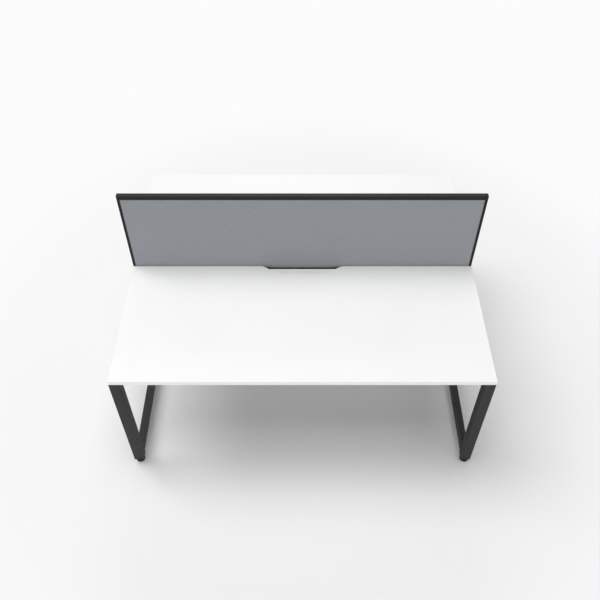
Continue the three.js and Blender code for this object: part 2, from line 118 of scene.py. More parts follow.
# Wood screws
SCREW_HOLE_RADIUS = 2.8 * MM
SCREW_SHANK_RADIUS = 2.4 * MM
SCREW_HEAD_RADIUS = 5 * MM
SCREW_HEAD_HEIGHT = 2.8 * MM
SCREW_DRIVE_RADIUS = 2.2 * MM
SCREW_DRIVE_LOBE = 0.5 * MM
SCREW_DRIVE_LOBES = 6
SCREW_DRIVE_LEAD = 0.25 * MM
SCREW_DRIVE_DEPTH = 1.7 * MM
SCREW_POINT_RADIUS = 0.4 * MM
SCREW_POINT_DEPTH = 0.3 * MM
SCREW_MOUTH_RADIUS = 2.9 * MM
SCREW_TOP_GAP = 0.1 * MM

# Shares of a wood screw's head, and how its crown curves from rim to mouth
SCREW_SEAT_RADIUS = 0.96
SCREW_EASE_HEIGHT = 0.18
SCREW_SHOULDER_HEIGHT = 0.45
SCREW_CROWN_RINGS = (0.3, 0.6, 0.85, 1)
SCREW_CROWN_POWER = 0.45

# Levelling feet
PAD_RIM_HEIGHT = 10 * MM
PAD_RIM_RADIUS = 2 * MM
PAD_RIM_STEPS = 6
PAD_SHOULDER_TURN = 0.75 * QUARTER_TURN
PAD_CONE_HEIGHT = 6 * MM
PAD_CONE_OVERHANG = 1.5 * MM
PAD_CONE_DROP = 0.6 * MM
PAD_COLLAR_RADIUS = 13 * MM
PAD_COLLAR_LOBES = 12
PAD_COLLAR_LOBE = 0.9 * MM
PAD_COLLAR_STEP = 0.8 * MM
PAD_COLLAR_EASE = 0.7 * MM
PAD_COLLAR_EASE_HEIGHT = 1 * MM
PAD_BORE_EASE = 0.6 * MM
PAD_CENTRE_RADIUS = 0.5 * MM
PAD_RECESS_RADIUS = 15 * MM
PAD_RECESS_DEPTH = 0.8 * MM
STUD_RADIUS = 5 * MM
STUD_END_EASE = 0.5 * MM
STUD_FACETS = 32
STUD_SEAT_GAP = 0.3 * MM
STUD_SEAT_DEPTH = 14 * MM
THREAD_PITCH = 1.5 * MM
THREAD_DEPTH = 0.8 * MM
THREAD_STEPS = 8

# Screen: grooved frame members round foam-backed fabric
FRAME_TOP_FACE = 22 * MM
FRAME_STILE_FACE = 14 * MM
FRAME_BOTTOM_FACE = 10 * MM
FRAME_WEB = 3 * MM
FRAME_FLANGE = 1.5 * MM
FRAME_OUTER_RADIUS = 1.3 * MM
FRAME_LIP_RADIUS = 0.4 * MM
FRAME_MITRE_GAP = 0.12 * MM
FABRIC_CROWN = 0.6 * MM
FABRIC_CROWN_RUN = 12 * MM
FABRIC_EDGE_STEPS = 8
FABRIC_FIELD_STEP = 40 * MM

# Facets of round shapes
CORNER_STEPS = 8
ROUND_STEPS = 48
LEAST_RADIUS = 0.02 * MM
SHARP_ANGLE = math.radians(40)

# Finishes: the span that noise mostly keeps to, its detail, the clouds' share beside the grain,
# and how drawn lines are scaled along their length
NOISE_LOW = 0.3
NOISE_HIGH = 0.7
CLOUD_DETAIL = 4.0
GRAIN_DETAIL = 3.0
CLOUD_SHARE = 0.6
DRAWN_SCALE = 0.02

# Cloth: clouds, slubs and fuzz are counts per metre
CLOTH_ROUGHNESS = 0.92
CLOTH_SHEEN = 0.12
CLOTH_SHEEN_ROUGHNESS = 0.5
CLOTH_CLOUDS = 5.0
CLOTH_CLOUD_DETAIL = 5.0
CLOTH_THREAD_SHARE = 0.9
CLOTH_THREAD_DETAIL = 3.0
CLOTH_SLUBS = 40
CLOTH_FUZZ = 4000.0
CLOTH_FUZZ_DETAIL = 2.0
CLOTH_FUZZ_DEPTH = 0.05 * MM
CLOTH_WEAVE_DEPTH = 0.25 * MM

# Turns that lay a shape drawn along z along y or x, its local y upright
ALONG_Y = Matrix.Rotation(QUARTER_TURN, 4, "X")
ALONG_X = Matrix.Rotation(QUARTER_TURN, 4, "Z") @ ALONG_Y


def middle_and_size(node):
    """The middle and the size of a CAD node's box."""
    low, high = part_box(node)
    return (low + high) / 2, high - low


# Outlines and rings


def rectangle(width, height):
    x = width / 2
    y = height / 2
    return [(-x, -y), (x, -y), (x, y), (-x, y)]


def eased_outline(corners, radii, inset=0.0):
    """A counter-clockwise outline moved in by inset, each corner rounded to its radius."""
    outline = []
    for i, (corner, radius) in enumerate(zip(corners, radii)):
        corner = Vector(corner)
        entry = (corner - Vector(corners[i - 1])).normalized()
        leave = (Vector(corners[(i + 1) % len(corners)]) - corner).normalized()
        entry_left = Vector((-entry.y, entry.x))
        leave_left = Vector((-leave.y, leave.x))
        corner = corner + (entry_left + leave_left) * inset / (1 + entry.dot(leave))
        side = math.copysign(1, entry.x * leave.y - entry.y * leave.x)
        radius = max(radius - side * inset, LEAST_RADIUS)
        turn = entry.angle(leave)
        start = corner - entry * radius * math.tan(turn / 2)
        centre = start + side * entry_left * radius
        for step in range(CORNER_STEPS + 1):
            angle = side * turn * step / CORNER_STEPS
            outline.append(centre + Matrix.Rotation(angle, 2) @ (start - centre))
    return outline


def eased_rectangle(width, height, radius, inset=0.0):
    return eased_outline(rectangle(width, height), [radius] * 4, inset)


def at_height(outline, height):
    return [(x, y, height) for x, y in outline]


def polar_ring(radius_at, height, steps=ROUND_STEPS):
    """A ring about the z axis whose radius depends on the angle."""
    ring = []
    for i in range(steps):
        angle = math.tau * i / steps
        radius = radius_at(angle)
        ring.append((radius * math.cos(angle), radius * math.sin(angle), height))
    return ring


def round_ring(radius, height):
    return polar_ring(lambda angle: radius, height)


def hex_ring(across_flats, height):
    """A ring of six flats, for a hexagon socket."""
    sixth = math.pi / 3
    return polar_ring(lambda a: across_flats / 2 / math.cos(a % sixth - sixth / 2), height)


def lobed_ring(radius, lobe, lobes, height):
    """A ring whose radius dips by a lobe's depth between its lobes."""
    return polar_ring(lambda a: radius - lobe * (1 - math.cos(lobes * a)) / 2, height)


def thread_ring(crest, depth, lead, height):
    """A ring through a single-start thread whose crest is at the angle lead."""
    return polar_ring(lambda a: crest - depth * (1 - math.cos(a - lead)) / 2, height, STUD_FACETS)


def circle(x, y, radius):
    return [(x + px, y + py) for px, py, _ in round_ring(radius, 0)]


def quarter_round(radius, height, bend, steps, start, end):
    """Points of (radius, height) round an arc of radius bend, centred on the first two values."""
    points = []
    for step in range(steps + 1):
        angle = start + (end - start) * step / steps
        points.append((radius + bend * math.cos(angle), height + bend * math.sin(angle)))
    return points


# Mesh building


def skin(bm, rings, place=None, closed=False, caps=True):
    """Skins rings of equally many points; a closed run joins its last ring to its first."""
    place = place or Matrix()
    loops = [[bm.verts.new(place @ Vector(point)) for point in ring] for ring in rings]
    following = loops[1:] + loops[:1] if closed else loops[1:]
    for near, far in zip(loops, following):
        for i, corner in enumerate(near):
            bm.faces.new((near[i - 1], corner, far[i], far[i - 1]))
    if caps and not closed:
        bm.faces.new(loops[0])
        bm.faces.new(loops[-1])
    return loops


def add_plate(bm, outlines, thickness, place):
    """A flat plate with eased edges; each outline, edge or hole, is a function of its inset."""
    steps = (
        (PLATE_EASE, 0),
        (0, PLATE_EASE),
        (0, thickness - PLATE_EASE),
        (PLATE_EASE, thickness),
    )
    rims = ([], [])
    for outline in outlines:
        rings = [at_height(outline(inset), height) for inset, height in steps]
        loops = skin(bm, rings, place, caps=False)
        for rim, loop in zip(rims, (loops[0], loops[-1])):
            rim += [bm.edges.get((loop[i - 1], corner)) for i, corner in enumerate(loop)]
    for rim in rims:
        bmesh.ops.triangle_fill(bm, edges=rim, use_beauty=True)


def hole(x, y, radius):
    """A round hole for add_plate, wider where the plate's edge is eased."""
    return lambda inset: circle(x, y, radius + inset)


def add_tube(bm, width, height, length, place):
    """An open tube of the stock wall, centred on its length."""
    half = length / 2
    ease = TUBE_END_EASE
    profile = (
        (ease, -half),
        (0, ease - half),
        (0, half - ease),
        (ease, half),
        (TUBE_WALL - ease, half),
        (TUBE_WALL, half - ease),
        (TUBE_WALL, ease - half),
        (TUBE_WALL - ease, -half),
    )
    rings = [
        at_height(eased_rectangle(width, height, TUBE_CORNER_RADIUS, inset), along)
        for inset, along in profile
    ]
    skin(bm, rings, place, closed=True)


def add_bead(bm, line, place, closed=False):
    """A rippled weld bead along a line at z = 0, one leg to the line's right, one along +z."""
    line = np.array([tuple(point) for point in line])
    if closed:
        line = np.vstack((line, line[:1]))
    lengths = np.append(0, np.cumsum(np.linalg.norm(np.diff(line, axis=0), axis=1)))
    whole = lengths[-1]
    at = np.linspace(0, whole, round(whole / WELD_STEP) + 1)
    path = np.column_stack([np.interp(at, lengths, line[:, k]) for k in range(2)])
    ripples = max(1, round(whole / WELD_RIPPLE_PITCH))
    rings = []
    for i, along in enumerate(at[:-1] if closed else at):
        ahead = path[(i + 1) % len(at)] if closed else path[min(i + 1, len(at) - 1)]
        behind = path[i - 1 if i else (len(at) - 2 if closed else 0)]
        tangent = Vector(ahead - behind).normalized()
        right = Vector((tangent.y, -tangent.x))
        leg = WELD_LEG * (1 + WELD_RIPPLE * math.cos(math.tau * ripples * along / whole))
        if not closed:
            nearest_end = min(along, whole - along)
            leg *= min(1, WELD_END_LEG + nearest_end / WELD_RUN_OUT)
        root = Vector(path[i]) - right * WELD_SINK
        reach = leg + WELD_SINK
        section = ((0, 0), (1, 0), *bulged_arc(WELD_BULGE), (0, 1))
        rings.append([(*(root + right * out * reach), up * leg) for out, up in section])
    skin(bm, rings, place, closed=closed)


def bulged_arc(bulge):
    """Two points between the toes of a bead, pushed out from its root."""
    return [(bulge * math.cos(a), bulge * math.sin(a)) for a in (math.pi / 6, math.pi / 3)]


def mesh_of(bm, name, material):
    """The finished mesh, smooth except where its faces meet sharply."""
    bmesh.ops.recalc_face_normals(bm, faces=bm.faces[:])
    mesh = bpy.data.meshes.new(name)
    bm.to_mesh(mesh)
    bm.free()
    mesh.shade_smooth()
    mesh.set_sharp_from_angle(angle=SHARP_ANGLE)
    mesh.materials.append(material)
    return mesh


def lofted(name, rings, material, closed=False):
    bm = bmesh.new()
    skin(bm, rings, closed=closed)
    return mesh_of(bm, name, material)


def put(name, mesh, body, slot, stands_for=(), at=(0, 0, 0), turn=(0, 0, 0)):
    """A piece of that mesh on a body, standing for the CAD nodes it replaces."""
    piece = bpy.data.objects.new(name, mesh)
    bpy.context.scene.collection.objects.link(piece)
    piece.location = at
    piece.rotation_euler = turn
    normals = piece.modifiers.new("weighted_normals", "WEIGHTED_NORMAL")
    normals.keep_sharp = True
    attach(piece, body)
    if stands_for:
        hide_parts(*stands_for)
    return piece


# Materials


def node(tree, kind, values=None, wires=None, **settings):
    """Adds a node, sets its properties and sockets, and wires its inputs."""
    made = tree.nodes.new(kind)
    for name, value in settings.items():
        setattr(made, name, value)
    for socket, value in (values or {}).items():
        made.inputs[socket].default_value = value
    for socket, source in (wires or {}).items():
        tree.links.new(source, made.inputs[socket])
    return made


def maths(tree, operation, *terms):
    """A math node of numbers and wired outputs."""
    made = tree.nodes.new("ShaderNodeMath")
    made.operation = operation
    for socket, term in zip(made.inputs, terms):
        if isinstance(term, (int, float)):
            socket.default_value = term
        else:
            tree.links.new(term, socket)
    return made.outputs[0]


def start_material(name):
    """A material with its tree, shader and object coordinates."""
    material = bpy.data.materials.new(name)
    material.use_nodes = True
    tree = material.node_tree
    coords = tree.nodes.new("ShaderNodeTexCoord").outputs["Object"]
    return material, tree, tree.nodes["Principled BSDF"], coords


def stretched(tree, coords, scale):
    """Coordinates scaled by a different factor on each axis."""
    return node(tree, "ShaderNodeMapping", {"Scale": scale}, {"Vector": coords}).outputs[0]


def noise(tree, coords, scale, detail):
    values = {"Scale": scale, "Detail": detail}
    return node(tree, "ShaderNodeTexNoise", values, {"Vector": coords}).outputs[0]


def tinted(tree, factor, low, high):
    """A colour that runs from low to high with a noise factor."""
    ramp = node(tree, "ShaderNodeValToRGB", None, {0: factor})
    places = (NOISE_LOW, NOISE_HIGH)
    for element, place, colour in zip(ramp.color_ramp.elements, places, (low, high)):
        element.position = place
        element.color = (*colour, 1)
    return ramp.outputs[0]


def ranged(tree, factor, low, high):
    """A value that runs from low to high with a noise factor."""
    values = {"From Min": NOISE_LOW, "From Max": NOISE_HIGH, "To Min": low, "To Max": high}
    return node(tree, "ShaderNodeMapRange", values, {"Value": factor}).outputs[0]


def bumped(tree, height, distance, under=None):
    """A bump of that real depth, on top of another bump if there is one."""
    wires = {"Height": height}
    if under:
        wires["Normal"] = under
    values = {"Strength": 1.0, "Distance": distance}
    return node(tree, "ShaderNodeBump", values, wires).outputs[0]


def mixed(tree, first, second, share):
    """Two factors added, the first by its share and the second by the rest."""
    parts = [maths(tree, "MULTIPLY", first, share), maths(tree, "MULTIPLY", second, 1 - share)]
    return maths(tree, "ADD", *parts)


def surface(
    name, low, high, roughness, grain, depth, clouds=3.0, stretch=None, metallic=0.0, specular=0.5
):
    """A hard finish: clouded colour and roughness, with a fine grain of that many per metre."""
    material, tree, shader, coords = start_material(name)
    shader.inputs["Metallic"].default_value = metallic
    shader.inputs["Specular IOR Level"].default_value = specular
    grain_coords = stretched(tree, coords, stretch) if stretch else coords
    cloud = noise(tree, coords, clouds, CLOUD_DETAIL)
    fine = noise(tree, grain_coords, grain, GRAIN_DETAIL)
    factor = mixed(tree, cloud, fine, CLOUD_SHARE)
    tree.links.new(tinted(tree, factor, low, high), shader.inputs["Base Color"])
    tree.links.new(ranged(tree, factor, *roughness), shader.inputs["Roughness"])
    tree.links.new(bumped(tree, fine, depth), shader.inputs["Normal"])
    return material


def woven(name, pitch, dark, light):
    """A plain weave in the xz plane: threads cross over and under, each with its own shade."""
    material, tree, shader, coords = start_material(name)
    shader.inputs["Roughness"].default_value = CLOTH_ROUGHNESS
    shader.inputs["Sheen Weight"].default_value = CLOTH_SHEEN
    shader.inputs["Sheen Roughness"].default_value = CLOTH_SHEEN_ROUGHNESS
    axes = node(tree, "ShaderNodeSeparateXYZ", None, {0: coords}).outputs
    across = maths(tree, "DIVIDE", axes["X"], pitch)
    up = maths(tree, "DIVIDE", axes["Z"], pitch)
    cells = [maths(tree, "FLOOR", value) for value in (across, up)]
    parity = maths(tree, "MODULO", maths(tree, "ADD", *cells), 2)
    is_warp = maths(tree, "ABSOLUTE", parity)
    ribs = [
        maths(tree, "ABSOLUTE", maths(tree, "SINE", maths(tree, "MULTIPLY", value, math.pi)))
        for value in (across, up)
    ]
    height = maths(tree, "MULTIPLY", *ribs)
    shades = []
    for scale in ((1 / pitch, 1, CLOTH_SLUBS), (CLOTH_SLUBS, 1, 1 / pitch)):
        along_thread = stretched(tree, coords, scale)
        shades.append(noise(tree, along_thread, 1.0, CLOTH_THREAD_DETAIL))
    threads = node(
        tree, "ShaderNodeMix", None, {0: is_warp, 2: shades[0], 3: shades[1]}, data_type="FLOAT"
    ).outputs[0]
    clouds = noise(tree, coords, CLOTH_CLOUDS, CLOTH_CLOUD_DETAIL)
    shade = mixed(tree, threads, clouds, CLOTH_THREAD_SHARE)
    tree.links.new(tinted(tree, shade, dark, light), shader.inputs["Base Color"])
    fibres = noise(tree, coords, CLOTH_FUZZ, CLOTH_FUZZ_DETAIL)
    fuzz = bumped(tree, fibres, CLOTH_FUZZ_DEPTH)
    tree.links.new(bumped(tree, height, CLOTH_WEAVE_DEPTH, fuzz), shader.inputs["Normal"])
    return material


LAMINATE = surface(
    "laminate_white",
    low=(0.87, 0.87, 0.865),
    high=(0.9, 0.9, 0.895),
    roughness=(0.4, 0.5),
    grain=1400,
    depth=0.012 * MM,
)
EDGING = surface(
    "edging_white",
    low=(0.84, 0.84, 0.835),
    high=(0.87, 0.87, 0.865),
    roughness=(0.32, 0.4),
    grain=700,
    depth=0.01 * MM,
)
POWDER = surface(
    "powder_black",
    low=(0.014, 0.014, 0.015),
    high=(0.024, 0.024, 0.025),
    roughness=(0.5, 0.64),
    grain=900,
    depth=0.03 * MM,
    clouds=12.0,
    specular=0.26,
)
FRAME_FINISH = {
    "low": (0.006, 0.006, 0.0065),
    "high": (0.01, 0.01, 0.0105),
    "roughness": (0.4, 0.52),
    "grain": 1600,
    "depth": 0.008 * MM,
    "specular": 0.2,
}
FRAME_RAIL = surface("frame_black_rail", stretch=(DRAWN_SCALE, 1, 1), **FRAME_FINISH)
FRAME_STILE = surface("frame_black_stile", stretch=(1, 1, DRAWN_SCALE), **FRAME_FINISH)
FABRIC = woven(
    "fabric_grey",
    pitch=1.3 * MM,
    dark=(0.228, 0.24, 0.264),
    light=(0.323, 0.34, 0.365),
)
PLASTIC = surface(
    "plastic_black",
    low=(0.005, 0.005, 0.005),
    high=(0.008, 0.008, 0.0085),
    roughness=(0.5, 0.64),
    grain=2200,
    depth=0.03 * MM,
    specular=0.2,
)
ZINC = surface(
    "zinc_plated",
    low=(0.55, 0.56, 0.58),
    high=(0.68, 0.69, 0.71),
    roughness=(0.24, 0.42),
    grain=3000,
    depth=0.006 * MM,
    clouds=60.0,
    metallic=1.0,
)
CORE = surface(
    "core_fibre",
    low=(0.36, 0.29, 0.19),
    high=(0.52, 0.43, 0.3),
    roughness=(0.85, 0.95),
    grain=500,
    depth=0.1 * MM,
    clouds=40.0,
)


# Worktops


def top_outline(inset):
    """A worktop from above, its user's edge on y = 0 and the cable scallop in its inner edge."""
    _, size = middle_and_size("front_worktop_edging")
    end = size.x / 2
    mouth = SCALLOP_WIDTH / 2
    floor = SCALLOP_FLOOR_WIDTH / 2
    corners = [
        (-end, 0),
        (end, 0),
        (end, size.y),
        (mouth, size.y),
        (floor, size.y - SCALLOP_DEPTH),
        (-floor, size.y - SCALLOP_DEPTH),
        (-mouth, size.y),
        (-end, size.y),
    ]
    square = TOP_CORNER_RADIUS
    outer = SCALLOP_OUTER_RADIUS
    inner = SCALLOP_INNER_RADIUS
    radii = [square, square, square, outer, inner, inner, outer, square]
    return eased_outline(corners, radii, inset)


def build_worktops():
    low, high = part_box("front_worktop_edging")
    base = low.z
    top = high.z
    arris = BAND_ARRIS
    steps = BAND_ARRIS_STEPS
    lower = quarter_round(arris, base + arris, arris, steps, -QUARTER_TURN, -HALF_TURN)
    upper = quarter_round(arris, top - arris, arris, steps, HALF_TURN, QUARTER_TURN)
    band = [(BAND_WIDTH, base), *lower, *upper, (BAND_WIDTH, top)]
    rings = [at_height(top_outline(inset), height) for inset, height in band]
    band_mesh = lofted("worktop_band", rings, EDGING, closed=True)
    edge = BAND_WIDTH + BAND_SEAM
    profile = (
        (edge + BOARD_EASE, base),
        (edge, base + BOARD_EASE),
        (edge, top - BOARD_EASE),
        (edge + BOARD_EASE, top),
    )
    rings = [at_height(top_outline(inset), height) for inset, height in profile]
    board_mesh = lofted("worktop_board", rings, LAMINATE)
    for side, sign in SIDES.items():
        place = {"at": (0, sign * -low.y, 0), "turn": (0, 0, HALF_TURN if sign > 0 else 0)}
        put(f"{side}_top_board", board_mesh, "desk", "laminate", [f"{side}_worktop_board"], **place)
        put(f"{side}_top_band", band_mesh, "desk", "edging", [f"{side}_worktop_edging"], **place)


# End frames


def post_mesh():
    _, size = middle_and_size("left_front_post")
    ease = TUBE_END_EASE
    profile = (
        (TUBE_WALL, size.z - POST_CAP),
        (TUBE_WALL, ease),
        (TUBE_WALL - ease, 0),
        (ease, 0),
        (0, ease),
        (0, size.z - ease),
        (ease, size.z),
    )
    rings = [
        at_height(eased_rectangle(size.x, size.y, TUBE_CORNER_RADIUS, inset), height)
        for inset, height in profile
    ]
    return lofted("post", rings, POWDER)


def rail_mesh(name, node_name, flush):
    """A rail with a bead at both ends, on all sides but the one flush with the posts' ends."""
    _, size = middle_and_size(node_name)
    post_low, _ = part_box("left_rear_post")
    bm = bmesh.new()
    add_tube(bm, size.x, size.z, size.y, ALONG_Y)
    corners = eased_rectangle(size.x, size.z, TUBE_CORNER_RADIUS)
    upper_corners = corners[2 * (CORNER_STEPS + 1):]
    bead_foot = -size.z / 2 + WELD_LEG
    line = [(size.x / 2, bead_foot), *upper_corners, (-size.x / 2, bead_foot)]
    if flush > 0:
        line = [(-x, -y) for x, y in line]
    to_post = Matrix.Translation((0, 0, -post_low.y))
    for turn in (0, HALF_TURN):
        add_bead(bm, line, ALONG_Y @ Matrix.Rotation(turn, 4, "Y") @ to_post)
    return mesh_of(bm, name, POWDER)


def build_end_frames():
    post = post_mesh()
    floor_rail = rail_mesh("floor_rail", "left_floor_rail", -1)
    upper_rail = rail_mesh("upper_rail", "left_upper_rail", 1)
    for end in ENDS:
        for side in SIDES:
            node_name = f"{end}_{side}_post"
            middle, size = middle_and_size(node_name)
            at = (middle.x, middle.y, middle.z - size.z / 2)
            put(f"{end}_{side}_leg", post, "desk", "powder_coat", [node_name], at)
        for mesh, level in ((floor_rail, "floor"), (upper_rail, "upper")):
            node_name = f"{end}_{level}_rail"
            middle, _ = middle_and_size(node_name)
            put(f"{end}_{level}_tube", mesh, "desk", "powder_coat", [node_name], middle)


# Beams and the screws through their tabs


def tab_places(node_name):
    """The x of each tab along a beam."""
    _, size = middle_and_size(node_name)
    span = size.x - 2 * TAB_END_SETBACK
    return [(i / (TAB_COUNT - 1) - 0.5) * span for i in range(TAB_COUNT)]


def beam_mesh(name, node_name, tab_sign):
    """A beam along x with its end plates, and tabs on the side that tab_sign points to."""
    _, size = middle_and_size(node_name)
    bm = bmesh.new()
    add_tube(bm, BEAM_WIDTH, size.z, size.x - 2 * PLATE_THICKNESS, ALONG_X)
    bolt_hole = BEAM_BOLT["shank"] + BOLT_HOLE_CLEARANCE
    plate = [
        lambda inset: eased_rectangle(size.y, size.z, TUBE_CORNER_RADIUS, inset),
        hole(-PLATE_BOLT_SPREAD, 0, bolt_hole),
        hole(PLATE_BOLT_SPREAD, 0, bolt_hole),
        hole(0, 0, VENT_RADIUS),
    ]
    section = eased_rectangle(BEAM_WIDTH, size.z, TUBE_CORNER_RADIUS)
    inner_face = size.x / 2 - PLATE_THICKNESS
    for turn in (0, HALF_TURN):
        place = Matrix.Rotation(turn, 4, "Z") @ ALONG_X
        add_plate(bm, plate, PLATE_THICKNESS, place @ Matrix.Translation((0, 0, inner_face)))
        add_bead(bm, section, place @ Matrix.Translation((0, 0, -inner_face)), closed=True)
    depth = TAB_REACH + TAB_ROOT
    outer = TAB_CORNER_RADIUS
    tab = [
        lambda inset: eased_outline(rectangle(TAB_LENGTH, depth), [0, 0, outer, outer], inset),
        hole(0, (depth - TAB_REACH) / 2, SCREW_HOLE_RADIUS),
    ]
    underside = size.z / 2 - TAB_DROP - TAB_THICKNESS
    for x in tab_places(node_name):
        turn = Matrix.Rotation(0 if tab_sign > 0 else HALF_TURN, 4, "Z")
        reach = Matrix.Translation((0, BEAM_WIDTH / 2 - TAB_ROOT + depth / 2, underside))
        place = Matrix.Translation((x, 0, 0)) @ turn @ reach
        add_plate(bm, tab, TAB_THICKNESS, place)
    return mesh_of(bm, name, POWDER)


def build_beams():
    screw = screw_mesh()
    bolt = bolt_mesh("beam_bolt", "front_outer_beam_left_bolt_a", BEAM_BOLT)
    head = BEAM_BOLT["height"]
    for side, side_sign in SIDES.items():
        for beam, beam_sign in BEAMS.items():
            node_name = f"{side}_{beam}_beam"
            tab_sign = side_sign * beam_sign
            middle, size = middle_and_size(node_name)
            mesh = beam_mesh(node_name, node_name, tab_sign)
            put(f"{side}_{beam}_bar", mesh, "desk", "powder_coat", [node_name], middle)
            head_z = middle.z + size.z / 2 - TAB_DROP - TAB_THICKNESS
            y = middle.y + tab_sign * (BEAM_WIDTH + TAB_REACH) / 2
            for i, x in enumerate(tab_places(node_name), 1):
                name = f"{side}_{beam}_tab_screw_{i}"
                put(name, screw, "desk", "zinc", at=(x, y, head_z), turn=(HALF_TURN, 0, 0))
            for end, end_sign in ENDS.items():
                for label in "ab":
                    bolt_node = f"{node_name}_{end}_bolt_{label}"
                    low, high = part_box(bolt_node)
                    seat = low.x + head if end_sign > 0 else high.x - head
                    at = (seat, (low.y + high.y) / 2, (low.z + high.z) / 2)
                    turn = (0, -end_sign * QUARTER_TURN, 0)
                    name = f"{side}_{beam}_{end}_bolt_{label}"
                    put(name, bolt, "desk", "zinc", [bolt_node], at, turn)


# Fasteners


def bolt_mesh(name, node_name, bolt):
    """A button-head bolt, head up from z = 0, with a hexagon socket."""
    _, size = middle_and_size(node_name)
    shank_length = max(size) - bolt["height"]
    head = bolt["head"]
    height = bolt["height"]
    shank = bolt["shank"]
    socket = bolt["socket"]
    mouth = socket * BOLT_MOUTH_RADIUS
    brim = height * BOLT_BRIM_HEIGHT
    rings = [
        round_ring(shank * BOLT_TIP_RADIUS, -shank_length),
        round_ring(shank, -shank_length + shank * BOLT_TIP_LENGTH),
        round_ring(shank, 0),
        round_ring(head * BOLT_SEAT_RADIUS, 0),
        round_ring(head, brim * BOLT_BRIM_EASE),
    ]
    for step in range(BOLT_CROWN_STEPS + 1):
        angle = QUARTER_TURN * step / BOLT_CROWN_STEPS
        radius = mouth + (head - mouth) * math.cos(angle)
        rings.append(round_ring(radius, brim + (height - brim) * math.sin(angle)))
    rings += [
        round_ring(socket * BOLT_LEAD_RADIUS, height - BOLT_LEAD_DEPTH),
        hex_ring(socket, height - BOLT_HEXAGON_DEPTH),
        hex_ring(socket, height * BOLT_SOCKET_FLOOR),
        round_ring(BOLT_POINT_RADIUS, height * BOLT_SOCKET_POINT),
    ]
    return lofted(name, rings, ZINC)


def screw_mesh():
    """A pan-head screw as far as the board it enters, head up, with a six-lobed drive."""
    top_low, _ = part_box("front_worktop_board")
    bracket_low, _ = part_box("left_screen_bracket")
    reach = top_low.z - bracket_low.z - SCREW_TOP_GAP
    head = SCREW_HEAD_RADIUS
    height = SCREW_HEAD_HEIGHT
    shoulder = SCREW_SHOULDER_HEIGHT
    rings = [
        round_ring(SCREW_SHANK_RADIUS, -reach),
        round_ring(SCREW_SHANK_RADIUS, 0),
        round_ring(head * SCREW_SEAT_RADIUS, 0),
        round_ring(head, height * SCREW_EASE_HEIGHT),
        round_ring(head, height * shoulder),
    ]
    for share in SCREW_CROWN_RINGS:
        radius = head - (head - SCREW_MOUTH_RADIUS) * share
        rise = shoulder + (1 - shoulder) * share ** SCREW_CROWN_POWER
        rings.append(round_ring(radius, height * rise))
    drive = (SCREW_DRIVE_RADIUS, SCREW_DRIVE_LOBE, SCREW_DRIVE_LOBES)
    rings += [
        lobed_ring(*drive, height - SCREW_DRIVE_LEAD),
        lobed_ring(*drive, height - SCREW_DRIVE_DEPTH),
        round_ring(SCREW_POINT_RADIUS, height - SCREW_DRIVE_DEPTH - SCREW_POINT_DEPTH),
    ]
    return lofted("wood_screw", rings, ZINC)


# Levelling feet


def pad_mesh():
    _, size = middle_and_size("left_front_foot_pad")
    rim = size.x / 2
    bend = PAD_RIM_RADIUS
    bore = STUD_RADIUS + STUD_SEAT_GAP
    shoulder = PAD_RIM_HEIGHT - bend
    neck = PAD_RIM_HEIGHT + PAD_CONE_HEIGHT
    collar = PAD_COLLAR_RADIUS
    seat = size.z - STUD_SEAT_DEPTH
    profile = [
        (PAD_CENTRE_RADIUS, PAD_RECESS_DEPTH),
        (PAD_RECESS_RADIUS - PAD_RECESS_DEPTH, PAD_RECESS_DEPTH),
        (PAD_RECESS_RADIUS, 0),
        *quarter_round(rim - bend, bend, bend, PAD_RIM_STEPS, -QUARTER_TURN, 0),
        *quarter_round(rim - bend, shoulder, bend, PAD_RIM_STEPS, 0, PAD_SHOULDER_TURN),
        (collar + PAD_CONE_OVERHANG, neck - PAD_CONE_DROP),
    ]
    rings = [round_ring(radius, height) for radius, height in profile]
    collar_profile = (
        (collar, neck),
        (collar, neck + PAD_COLLAR_STEP),
        (collar, size.z - PAD_COLLAR_EASE_HEIGHT),
        (collar - PAD_COLLAR_EASE, size.z),
    )
    for radius, height in collar_profile:
        rings.append(lobed_ring(radius, PAD_COLLAR_LOBE, PAD_COLLAR_LOBES, height))
    rings += [
        round_ring(bore + PAD_BORE_EASE, size.z),
        round_ring(bore, size.z - PAD_BORE_EASE),
        round_ring(bore, seat),
        round_ring(PAD_CENTRE_RADIUS, seat),
    ]
    return lofted("foot_pad", rings, PLASTIC)


def stud_mesh():
    """A threaded stud with its foot at z = 0, the thread running out at both ends."""
    _, size = middle_and_size("left_front_foot_stud")
    count = round(size.z / THREAD_PITCH * THREAD_STEPS)
    rings = []
    for step in range(count + 1):
        height = size.z * step / count
        fade = min(1, height / THREAD_PITCH, (size.z - height) / THREAD_PITCH)
        crest = STUD_RADIUS - STUD_END_EASE * (1 - fade)
        depth = THREAD_DEPTH * fade
        lead = math.tau * height / THREAD_PITCH
        rings.append(thread_ring(crest, depth, lead, height))
    return lofted("foot_stud", rings, ZINC)


def build_feet():
    pad = pad_mesh()
    stud = stud_mesh()
    for end in ENDS:
        for side in SIDES:
            corner = f"{end}_{side}"
            body = f"{corner}_foot"
            for mesh, part, slot in ((pad, "pad", "plastic"), (stud, "stud", "zinc")):
                node_name = f"{corner}_foot_{part}"
                middle, size = middle_and_size(node_name)
                at = (middle.x, middle.y, middle.z - size.z / 2)
                put(f"{corner}_leveller_{part}", mesh, body, slot, [node_name], at)


# Screen


